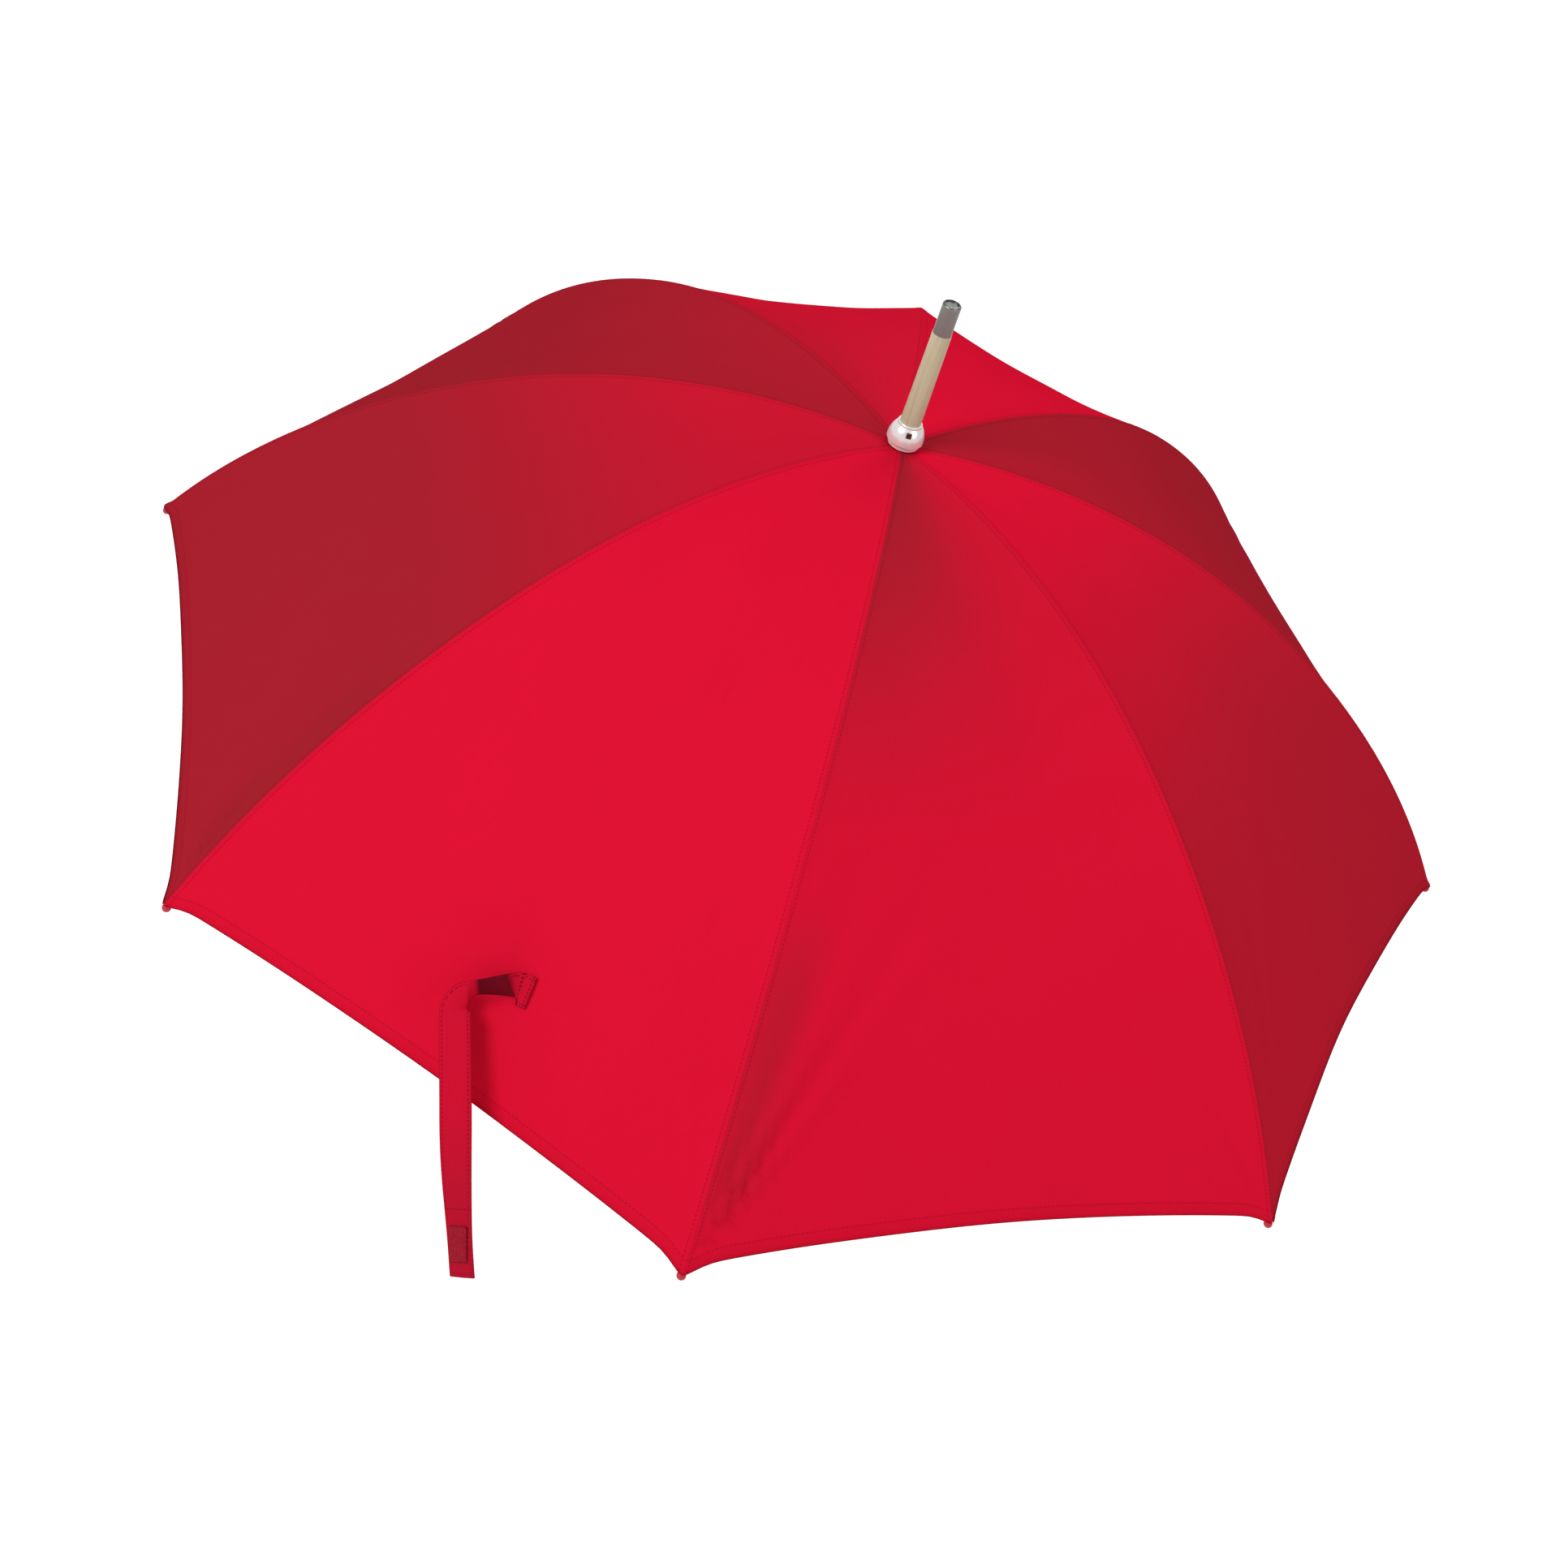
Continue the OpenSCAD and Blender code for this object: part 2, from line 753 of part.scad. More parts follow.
function strap_section(i) =
  let (
    first = floor(i),
    h = strap_heading(i * strap_pitch),
    w = unit(strap_width_way(i * strap_pitch) - h * (strap_width_way(i * strap_pitch) * h)),
    n = cross(w, h),
    a = w * strap_w / 2,
    b = n * strap_thick / 2,
    p = strap_line[first] + h * (i - first) * strap_pitch
  )
  [p - a - b, p + a - b, p + a + b, p - a + b];

// closed ribbon through a list of four-point sections
module ribbon(sections) {
  last = len(sections) - 1;
  polyhedron(
    points = [for (s = sections) each s],
    faces = concat(
      [[0, 1, 2], [0, 2, 3]],
      [[4 * last + 2, 4 * last + 1, 4 * last], [4 * last + 3, 4 * last + 2, 4 * last]],
      [
        for (i = [0:last - 1])
          for (j = [0:3])
            let (a = 4 * i + j, b = 4 * i + (j + 1) % 4)
            each [[b, a, a + 4], [b, a + 4, b + 4]]
      ]
    )
  );
}

// sewn end of the strap, up to the middle of its turn
module strap_tab() {
  color("crimson")
  ribbon([for (i = [0:strap_split]) strap_section(i)]);
}

// free run of the strap
module strap() {
  color("crimson")
  ribbon([
    for (i = [strap_split:strap_steps])
      strap_section(i == strap_split ? i + strap_gap / strap_pitch : i)
  ]);
}

// square of hook tape near the free end of the strap
module strap_patch() {
  centre = strap_line[strap_steps - 2];
  out = unit(cross(hang_side, fall));
  face = centre + out * (strap_thick / 2 + 0.1);
  half_w = hang_side * (strap_w / 2 - 3.5);
  half_l = fall * 10;
  color("darkred")
  ribbon([
    for (way = [-1, 1])
      let (p = face + half_l * way)
      [p - half_w, p - half_w + out * 1, p + half_w + out * 1, p + half_w]
  ]);
}

function shown(name) = node == "all" || node == name;
if (shown("shaft")) shaft();
if (shown("ferrule_tip")) ferrule_tip();
if (shown("crown_cap")) crown_cap();
if (shown("cap_tack")) cap_tack();
if (shown("crown_washer")) crown_washer();
if (shown("top_notch")) top_notch();
if (shown("notch_wire")) notch_wire();
for (k = [1:rib_count]) {
  if (shown(str("rib_inner_", k))) rib_inner(k);
  if (shown(str("rib_outer_", k))) rib_outer(k);
  if (shown(str("rib_tip_", k))) rib_tip(k);
  if (shown(str("stretcher_", k))) stretcher(k);
  if (shown(str("canopy_gore_", k))) canopy_gore(k);
}
if (shown("runner")) runner();
if (shown("runner_wire")) runner_wire();
if (shown("stop_pin")) stop_pin();
if (shown("top_catch")) top_catch();
if (shown("bottom_catch")) bottom_catch();
if (shown("catch_pins")) catch_pins();
if (shown("handle")) handle();
if (shown("handle_collar")) handle_collar();
if (shown("strap_tab")) strap_tab();
if (shown("strap")) strap();
if (shown("strap_patch")) strap_patch();
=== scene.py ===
"""Looks for the stick umbrella: cloth canopy, strap, wood, plated trim and frame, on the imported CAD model."""

import math

import bpy
import numpy as np
from mathutils import Matrix, Vector

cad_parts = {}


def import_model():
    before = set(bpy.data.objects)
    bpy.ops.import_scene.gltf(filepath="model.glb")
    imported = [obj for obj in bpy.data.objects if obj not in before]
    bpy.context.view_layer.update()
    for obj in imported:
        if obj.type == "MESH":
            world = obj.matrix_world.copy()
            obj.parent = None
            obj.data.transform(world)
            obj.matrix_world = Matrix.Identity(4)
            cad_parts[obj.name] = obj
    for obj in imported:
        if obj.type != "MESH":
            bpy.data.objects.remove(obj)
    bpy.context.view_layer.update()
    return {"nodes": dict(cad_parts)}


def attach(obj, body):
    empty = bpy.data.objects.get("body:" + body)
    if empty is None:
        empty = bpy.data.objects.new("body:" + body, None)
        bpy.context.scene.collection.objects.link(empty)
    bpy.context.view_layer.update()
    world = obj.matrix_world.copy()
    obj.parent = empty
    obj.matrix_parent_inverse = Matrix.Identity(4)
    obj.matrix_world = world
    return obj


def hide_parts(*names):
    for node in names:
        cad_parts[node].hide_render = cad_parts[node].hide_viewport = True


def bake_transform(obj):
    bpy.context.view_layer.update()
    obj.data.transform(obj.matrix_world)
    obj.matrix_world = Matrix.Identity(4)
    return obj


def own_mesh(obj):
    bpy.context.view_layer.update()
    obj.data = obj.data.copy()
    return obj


# canopy and frame sizes, in metres, as the CAD part has them
RIB_LENGTH = 0.600
PIVOT_RADIUS = 0.012
CROWN_Z = 0.668
START_SLOPE, KNEE_SLOPE, TIP_SLOPE = (math.radians(a) for a in (-7.0, 27.7, 54.2))
RIBS = 8
RIB_STEP = 2 * math.pi / RIBS
CLOTH_RISE = 0.0039  # cloth above the rib centre line
CLOTH_START = 0.0082
CLOTH_END = RIB_LENGTH - 0.0075
GORE_SAG = 0.007
TIP_REACH = 0.0048  # the hem corners run out to the tip nubs
INNER_BEND = (RIB_LENGTH / 2 - PIVOT_RADIUS) / (KNEE_SLOPE - START_SLOPE)
OUTER_BEND = (RIB_LENGTH / 2) / (TIP_SLOPE - KNEE_SLOPE)

# canopy mesh
ROWS, COLUMNS = 112, 72
SPLIT_ROW = 56
SPLIT_COLUMN = {3: 52}  # the strap's gore parts beside the strap, the others down the middle
SEAM_COLUMNS = 3  # columns in the strip that lies over each rib
SEAM_STRIP = 0.005  # width of that strip
HEM_ROLL = 0.0012
HEM_FOLD = 0.009  # width of the turned hem
SEAM_FOLD = 0.0035  # half width of the felled seam
CLOTH_PITCH = 0.0009  # of the weave

# how far each gore's hem curves in between its two tips
SCALLOP = {1: 0.011, 2: 0.013, 3: 0.006, 4: 0.010, 5: 0.019, 6: 0.012, 7: 0.010, 8: 0.010}

# heights of the small shapes in the cloth: crown pleats, seam pucker, doubled seam and hem, slack
CROWN_PLEAT, SEAM_PUCKER, SEAM_RISE, HEM_RISE, SLACK = 0.0003, 0.00025, 0.00025, 0.00035, 0.0006

# strength of the pull folds at each gore's two hem corners, in metres
FOLD_STRENGTH = {
    1: (0.0012, 0.0012),
    2: (0.0010, 0.0026),
    3: (0.0008, 0.0010),
    4: (0.0048, 0.0010),
    5: (0.0012, 0.0010),
    6: (0.0010, 0.0010),
    7: (0.0010, 0.0010),
    8: (0.0010, 0.0010),
}

# painted light and shade of each gore at the crown (left, right) and the hem (left, right):
# the gores are painted lighter and darker for how the light falls on them
GORE_PAINTED_SHADE = {
    1: (0.58, 0.56, 0.46, 0.42),
    2: (0.84, 0.82, 0.47, 0.48),
    3: (1.00, 1.00, 1.00, 1.00),
    4: (0.54, 0.86, 1.00, 0.98),
    5: (1.00, 1.00, 0.67, 0.60),
    6: (0.60, 0.54, 0.50, 0.48),
    7: (1.00, 1.00, 1.00, 1.00),
    8: (0.88, 0.76, 0.94, 1.00),
}
PULL_SHADE = {4: (-1, 0.24), 2: (1, 0.12)}  # gore: side of the shade, strength

# cloth colours
CLOTH_RED = (0.68, 0.0055, 0.030)
# painted sheen, mixed into the gores painted darker
PAINTED_SHEEN_GREY = (0.55, 0.30, 0.28)
CLOTH_WORN = (0.42, 0.006, 0.022)
CLOTH_THREAD = (0.30, 0.004, 0.018)
CLOTH_DOUBLE = (0.20, 0.002, 0.012)
STITCH_RED = (0.12, 0.002, 0.008)
STRAP_STITCH_RED = (0.10, 0.002, 0.008)
STRAP_RIM = (0.20, 0.003, 0.012)
STRAP_RED = (0.60, 0.006, 0.030)
STRAP_THREAD = (0.28, 0.004, 0.016)
STRAP_SHADE = (0.30, 0.008, 0.022)
# painted shadow where the strap stands off the canopy
STRAP_PAINTED_SHADOW = (0.075, 0.004, 0.010)
HOOK_RED = ((0.20, 0.006, 0.014), (0.40, 0.012, 0.030))

# frame colours: woods are pale, dark and pore; plastics are the plain colour and the worn one
SHAFT_WOOD = ((0.55, 0.52, 0.34), (0.42, 0.38, 0.24), (0.29, 0.24, 0.14))
HANDLE_WOOD = ((0.27, 0.115, 0.045), (0.13, 0.050, 0.020), (0.06, 0.025, 0.012))
TIP_METAL = (0.24, 0.25, 0.235)
CHROME = (0.95, 0.96, 0.95)
STEEL = (0.62, 0.63, 0.64)
WIRE = (0.58, 0.58, 0.58)
BRASS = (0.16, 0.11, 0.07)
TARNISH = (0.10, 0.08, 0.06)
GLASS_FIBRE = ((0.022, 0.022, 0.024), (0.07, 0.07, 0.07))
NUB_RED = ((0.46, 0.006, 0.024), (0.50, 0.02, 0.04))
HUB_NYLON = ((0.020, 0.020, 0.022), (0.09, 0.09, 0.09))
WASHER_FIBRE = ((0.03, 0.03, 0.03), (0.1, 0.1, 0.1))

# stitches: distance from the edge, half width of the row, and a sine along it
# in radians per metre that makes a stitch where it is above the gap level
SEAM_STITCH, HEM_STITCH, STRAP_STITCH = 0.0026, 0.0074, 0.0020
STITCH_HALF, STRAP_STITCH_HALF = 0.0004, 0.00035
STITCH_TURNS, STITCH_GAP = 2300, -0.2
STRAP_STITCH_TURNS, STRAP_STITCH_GAP = 2500, -0.3

# strap, as the CAD part has it
STRAP_GORE = 3
STRAP_SHARE, STRAP_ACROSS = 0.852, 0.16
STRAP_WIDTH = 0.020
STRAP_TAB, STRAP_SIDE, STRAP_TURN, STRAP_HANG = 0.007, 0.033, 0.022, 0.147
STRAP_TAB_SLANT, STRAP_SLANT = math.radians(10), math.radians(42)
STRAP_FALL = (-0.748, 0.315, -0.598)
STRAP_BASE, STRAP_LIFT = 0.0008, 0.0011  # cloth face under the strap, strap above it
STRAP_STAND_OFF = 0.45  # how steeply the strap leaves the cloth
STRAP_ARCH = 0.25  # how far it bows out as it turns down
STRAP_WAVE, STRAP_DRIFT = 0.05, 0.06
STRAP_STAND_TURN, STRAP_END_TURN = (50, 20), math.radians(24)
STRAP_HALF_THICK, STRAP_CUP = 0.0006, 0.0006
STRAP_PITCH = 0.0008  # of the weave
STRAP_STEPS, STRAP_COLUMNS = 96, 12
STRAP_CROSS_STITCHES = (0.0016, 0.0068)  # from the sewn end
STRAP_END_STITCHES = (0.0022, 0.0385, 0.0165)  # from the free end
PATCH_STEP = 87  # step of the strap at the middle of the hook tape
PATCH_LENGTH, PATCH_HALF_WIDTH = 0.0198, 0.0066
PATCH_RISE, PATCH_EDGE_RISE, PATCH_THICK = 0.0008, 0.0010, 0.0007
PATCH_ROWS = 16

# camera, found by matching the rib lines of the photograph
CAMERA_AT = (-0.6920, 0.8120, 1.3306)
CAMERA_RIGHT = (-0.56814, -0.78505, 0.24680)
CAMERA_UP = (0.67384, -0.27164, 0.68713)
CAMERA_BACK = (-0.47239, 0.55669, 0.68333)
CAMERA_LENS = 40.92
SENSOR = 36.0
CAMERA_FAR = 60

# stage
FLOOR_Z, FLOOR_HALF = -0.0945, 14.0
FLOOR_GREYS = ((0.40, 0.40, 0.40), (0.44, 0.44, 0.44))
FLOOR_GLOW = 0.85
WORLD_LIGHT = 0.50
LIT_POINT = (0, 0, 0.55)
# name: direction in camera axes, distance, size, power
LIGHTS = {
    "key": ((-0.55, 0.35, 0.9), 3.2, 1.6, 52),
    "fill": ((0.9, -0.2, 0.8), 3.4, 2.2, 24),
    "rim": ((0.45, 0.95, 0.1), 3.0, 1.2, 20),
}


def smooth(t):
    """0 to 1 with soft ends."""
    t = np.clip(t, 0.0, 1.0)
    return t * t * (3 - 2 * t)


# ---------------------------------------------------------------- canopy shape


def normal_at(slope):
    """[out, up] of the rib's normal where the rib has the given downward slope."""
    return np.stack([np.sin(slope), np.cos(slope)], -1)


ROOT = np.array([PIVOT_RADIUS, CROWN_Z])
INNER_CENTRE = ROOT - INNER_BEND * normal_at(START_SLOPE)
KNEE = INNER_CENTRE + INNER_BEND * normal_at(KNEE_SLOPE)
OUTER_CENTRE = KNEE - OUTER_BEND * normal_at(KNEE_SLOPE)


def rib_point(s, rise):
    """[radius, height] at distance s along the cloth, raised along the rib's normal."""
    inner = START_SLOPE + (s - PIVOT_RADIUS) / INNER_BEND
    outer = KNEE_SLOPE + (s - RIB_LENGTH / 2) / OUTER_BEND
    near = INNER_CENTRE + (INNER_BEND + rise)[..., None] * normal_at(inner)
    far = OUTER_CENTRE + (OUTER_BEND + rise)[..., None] * normal_at(outer)
    return np.where((s < RIB_LENGTH / 2)[..., None], near, far)


def painted_gore_shade(k, t, w):
    """Painted light and shade of the cloth at (t, w), a tint blended between the gore's four corners."""
    crown_left, crown_right, hem_left, hem_right = GORE_PAINTED_SHADE[k]
    down, right = smooth((t - 0.12) / 0.55), smooth((w + 0.75) / 1.5)
    crown = crown_left + (crown_right - crown_left) * right
    hem = hem_left + (hem_right - hem_left) * right
    painted_light = crown + (hem - crown) * down
    # the pulled cloth beside a rib tip lies in its own shade
    side, strength = PULL_SHADE.get(k, (1, 0.0))
    beside = (1 - side * w) * 0.23 * t
    wedge = np.exp(-(((beside - 0.014) / 0.020) ** 2))
    wedge = wedge * smooth((t - 0.60) / 0.14) * (1 - smooth((t - 0.90) / 0.08))
    return painted_light * (1 - strength * wedge)


def gore_azimuth(k):
    """Direction of the middle of gore k, between rib k and the next."""
    return (k - 0.5) * RIB_STEP


def tip_folds(k, s, w, half_width):
    """Pull folds that fan out of the two hem corners, with their own strength on each gore."""
    rise = np.zeros_like(s)
    for side, strength in ((-1, FOLD_STRENGTH[k][0]), (1, FOLD_STRENGTH[k][1])):
        across = (1 - side * w) * half_width
        along = CLOTH_END - s
        reach = np.hypot(across, along) + 1e-6
        fan = np.arctan2(across, along + 0.012)
        folds = np.sin(fan * 31 + k * 1.7 + side) * np.exp(-(((fan - 0.30) / 0.22) ** 2))
        rise += strength * folds * smooth(reach / 0.030) * np.exp(-reach / 0.095)
    return rise * smooth((1 - np.abs(w)) * half_width / 0.010)


def gore_surface(k, t, w, rise=0.0):
    """Points of gore k: t from the crown to the hem, w across from rib k (-1) to rib k+1 (1)."""
    middle = 1 - w * w
    far = CLOTH_END - SCALLOP[k] * middle
    half_width = rib_point(far, np.zeros_like(far))[..., 0] * math.sin(RIB_STEP / 2)
    corner = np.exp(-(((1 - np.abs(w)) * half_width / 0.011) ** 2))
    far = far + TIP_REACH * corner
    s = CLOTH_START + (far - CLOTH_START) * t
    sag = GORE_SAG * middle * np.sin(np.minimum(math.radians(150), math.radians(165) * t))
    half_width = rib_point(s, np.zeros_like(s))[..., 0] * math.sin(RIB_STEP / 2)
    seam = (1 - np.abs(w)) * half_width
    detail = tip_folds(k, s, w, half_width)
    # the cloth gathers in small pleats round the crown
    crown = np.exp(-((s - CLOTH_START) / 0.016) ** 2) * smooth((s - 0.012) / 0.01)
    detail += CROWN_PLEAT * crown * np.cos(w * math.pi * 3.5 + k) * smooth(seam / 0.003)
    # thread tension puckers the cloth beside each seam
    pucker = np.sin(s * 520 + 2.1 * np.sin(s * 90 + k)) * np.exp(-seam / 0.007) * smooth(seam / 0.004)
    detail += SEAM_PUCKER * pucker * smooth((s - 0.05) / 0.05)
    # felled seam and turned hem lie double
    detail += SEAM_RISE * (1 - smooth((seam - SEAM_FOLD) / 0.0020)) * smooth((s - 0.03) / 0.02)
    detail += HEM_RISE * smooth((t * (far - CLOTH_START) - (far - CLOTH_START - HEM_FOLD)) / 0.001)
    # slack between the ribs, too slight to see except as soft light and shade
    slack = np.sin(w * 4.3 + k * 2.3) * np.sin(s * 17 + k) + 0.6 * np.sin(w * 7.1 - s * 29 + k * 0.7)
    detail += SLACK * slack * middle * smooth(s / 0.2)
    p = rib_point(s, CLOTH_RISE + rise - sag + detail)
    y = p[..., 0] * math.sin(RIB_STEP / 2) * w
    x = p[..., 0] * math.cos(RIB_STEP / 2)
    a = gore_azimuth(k)
    points = np.stack([x * math.cos(a) - y * math.sin(a), x * math.sin(a) + y * math.cos(a), p[..., 1]], -1)
    return points, s, w * half_width, seam, far - s


def grid_faces(rows, columns):
    """Quads of a grid of (rows + 1) x (columns + 1) points."""
    i, j = np.mgrid[0:rows, 0:columns]
    a = (i * (columns + 1) + j).ravel()
    return np.stack([a, a + 1, a + columns + 2, a + columns + 1], -1)


def grid_normals(points):
    """Smooth unit normals of a grid, facing the way the faces do."""
    along = np.gradient(points, axis=0)
    across = np.gradient(points, axis=1)
    n = np.cross(across, along)
    return n / np.maximum(np.linalg.norm(n, axis=-1, keepdims=True), 1e-12)


def add_uv(mesh, name, values):
    """A UV map from one value pair per vertex."""
    layer = mesh.uv_layers.new(name=name)
    corner = np.zeros(len(mesh.loops), np.int32)
    mesh.loops.foreach_get("vertex_index", corner)
    layer.data.foreach_set("uv", values[corner].astype(np.float32).ravel())


def new_object(name, points, faces, material):
    mesh = bpy.data.meshes.new(name)
    mesh.from_pydata(points.reshape(-1, 3).tolist(), [], [tuple(f) for f in faces.tolist()])
    mesh.shade_smooth()
    mesh.materials.append(material)
    obj = bpy.data.objects.new(name, mesh)
    bpy.context.scene.collection.objects.link(obj)
    return obj


def with_rolled_edge(grid, edge):
    """Grid with one more row, for the hem's edge that turns under."""
    return np.concatenate([grid, edge[None]])


def gore_grid():
    """Rows down the gore and columns across it, the outer columns keeping to a strip along each seam."""
    t = np.linspace(0, 1, ROWS + 1)[:, None]
    radius = rib_point(CLOTH_START + (CLOTH_END - CLOTH_START) * t, 0 * t)[..., 0]
    half_width = radius * math.sin(RIB_STEP / 2)
    strip = np.minimum(SEAM_STRIP, 0.3 * half_width)
    column = np.arange(COLUMNS // 2 + 1)[None]
    inside = (column - SEAM_COLUMNS) / (COLUMNS // 2 - SEAM_COLUMNS)
    beyond = strip + (half_width - strip) * inside
    seam = np.where(column < SEAM_COLUMNS, strip * column / SEAM_COLUMNS, beyond)
    left = seam / half_width - 1
    return np.broadcast_to(t, (ROWS + 1, COLUMNS + 1)), np.concatenate([left, -left[:, -2::-1]], 1)


def gather(obj):
    """Gives the sheet its own copy of its mesh.
    """
    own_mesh(obj)


def gore_cloth(k):
    """Grids of gore k: points, normals and UV maps, with a last row where the hem turns under."""
    t, w = gore_grid()
    points, s, across, seam, hem = gore_surface(k, t, w)
    normals = grid_normals(points)
    under = points[-1] + (points[-1] - points[-2]) * 0.15 - normals[-1] * HEM_ROLL
    turned = (under - points[-2]) * 20 - normals[-1] * 0.2
    turned /= np.linalg.norm(turned, axis=-1, keepdims=True)
    grids = {
        "points": with_rolled_edge(points, under),
        "normals": with_rolled_edge(normals, turned),
    }
    for name, pair in (("cloth", (across, s)), ("edges", (seam, hem)), ("shade_uv", (painted_gore_shade(k, t, w), t))):
        values = np.stack(pair, -1)
        grids[name] = with_rolled_edge(values, values[-1])
    return grids


def lay_cloth(name, cuts, gore, rib, part, material):
    """One sheet made of cuts (grids, first column, last column), riding one half of a rib."""
    rows = slice(0, SPLIT_ROW + 1) if part == "inner" else slice(SPLIT_ROW, None)
    faces, joined = [], {layer: [] for layer in cuts[0][0]}
    wide = long = count = 0
    for grids, first, last in cuts:
        cut = {layer: values[rows, first : last + 1] for layer, values in grids.items()}
        down, over = cut["points"].shape[:2]
        faces.append(grid_faces(down - 1, over - 1) + count)
        count += down * over
        wide += float(np.ptp(cut["cloth"][..., 0], axis=1).max())
        long = max(long, float(np.ptp(cut["cloth"][..., 1])))
        for layer, values in cut.items():
            joined[layer].append(values.reshape(down * over, -1))
    joined = {layer: np.concatenate(values) for layer, values in joined.items()}
    obj = new_object(name, joined["points"], np.concatenate(faces), material)
    for layer in ("cloth", "edges", "shade_uv"):
        add_uv(obj.data, layer, joined[layer])
    obj.data.normals_split_custom_set_from_vertices(joined["normals"].tolist())
    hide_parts(f"canopy_gore_{gore}")
    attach(obj, f"rib_{part}_{rib}")
    return obj


def build_canopy(material):
    """Cloth in sheets that each follow half a rib: panels between the ribs, strips over the seams."""
    gores = {k: gore_cloth(k) for k in range(1, RIBS + 1)}
    for k in range(1, RIBS + 1):
        split, after = SPLIT_COLUMN.get(k, COLUMNS // 2), k % RIBS + 1
        for part in ("inner", "outer"):
            left = [(gores[k], SEAM_COLUMNS, split)]
            right = [(gores[k], split, COLUMNS - SEAM_COLUMNS)]
            seam = [(gores[k], COLUMNS - SEAM_COLUMNS, COLUMNS), (gores[after], 0, SEAM_COLUMNS)]
            panel = lay_cloth(f"canopy_gore_{k}_left_{part}", left, k, k, part, material)
            gather(panel)
            panel = lay_cloth(f"canopy_gore_{k}_right_{part}", right, k, after, part, material)
            gather(panel)
            lay_cloth(f"canopy_seam_{after}_{part}", seam, k, after, part, material)


# ---------------------------------------------------------------- strap


def unit(v):
    v = np.asarray(v, float)
    return v / np.linalg.norm(v)


def strap_path(steps):
    """Sections of the strap: centres, headings, width ways, and the distance along it."""
    share = (RIB_LENGTH * STRAP_SHARE - CLOTH_START) / (CLOTH_END - CLOTH_START - SCALLOP[STRAP_GORE])

    def on_gore(t, w):
        return gore_surface(STRAP_GORE, np.array([t]), np.array([w]), STRAP_BASE)[0][0]

    seat = on_gore(share, STRAP_ACROSS)
    down = unit(on_gore(share + 0.02, STRAP_ACROSS) - seat)
    left = unit(on_gore(share, STRAP_ACROSS - 0.1) - seat)
    out = unit(np.cross(left, down))

    def ways(d):
        """Way the strap runs and its width way on the cloth: it folds where the sewn end stops."""
        slant = STRAP_TAB_SLANT + (STRAP_SLANT - STRAP_TAB_SLANT) * float(smooth((d - 0.006) / 0.004))
        c, s = math.cos(slant), math.sin(slant)
        return unit(left * c + down * s), unit(down * c - left * s)

    fall = unit(STRAP_FALL)
    side = unit(left - fall * (left @ fall))
    total = STRAP_SIDE + STRAP_TURN + STRAP_HANG
    pitch = total / steps
    p = seat + out * STRAP_LIFT - ways(0)[0] * STRAP_TAB
    centres, headings, widths, distances = [], [], [], []
    for i in range(steps + 1):
        d = i * pitch
        for at, keep in ((d, True), (d + pitch / 2, False)):
            turned = float(smooth((at - STRAP_SIDE) / STRAP_TURN))
            lifted = float(smooth((at - STRAP_TAB - 0.006) / 0.012))
            away, across = ways(at)
            h = unit(
                (away + out * STRAP_STAND_OFF * lifted) * (1 - turned)
                + fall * turned
                + out * STRAP_ARCH * math.sin(math.pi * turned)
            )
            if keep:
                w = unit(across * (1 - turned) - side * turned)
                w = unit(w - h * (w @ h))
                centres.append(p)
                headings.append(h)
                widths.append(w)
                distances.append(d)
        # the hanging run waves slightly and drifts sideways
        wave = STRAP_WAVE * math.sin(d * 34) * float(smooth((d - 0.07) / 0.05))
        drift = STRAP_DRIFT * float(smooth((d - 0.10) / 0.06))
        p = p + unit(h + np.cross(widths[-1], h) * wave + widths[-1] * drift) * pitch
    # past the seam the strap stands on its lower edge, and the free end turns a little
    half = STRAP_WIDTH / 2
    for i, d in enumerate(distances):
        upright = STRAP_STAND_TURN[0] * smooth((d - 0.0075) / 0.003)
        upright += STRAP_STAND_TURN[1] * smooth((d - 0.010) / 0.015)
        stand = math.radians(float(upright * (1 - smooth((d - 0.026) / 0.018))))
        turn = STRAP_END_TURN * float(smooth((d - 0.11) / 0.08))
        w, h = widths[i], headings[i]
        raised = w * math.cos(stand) - out * math.sin(stand)
        raised = unit(raised - h * (raised @ h))
        upper = centres[i] - w * half + (out + w * 0.12) * STRAP_WIDTH * math.sin(stand)
        centres[i] = upper + raised * half
        widths[i] = raised * math.cos(turn) + np.cross(h, raised) * math.sin(turn)
    return [np.array(v) for v in (centres, headings, widths, distances)], fall


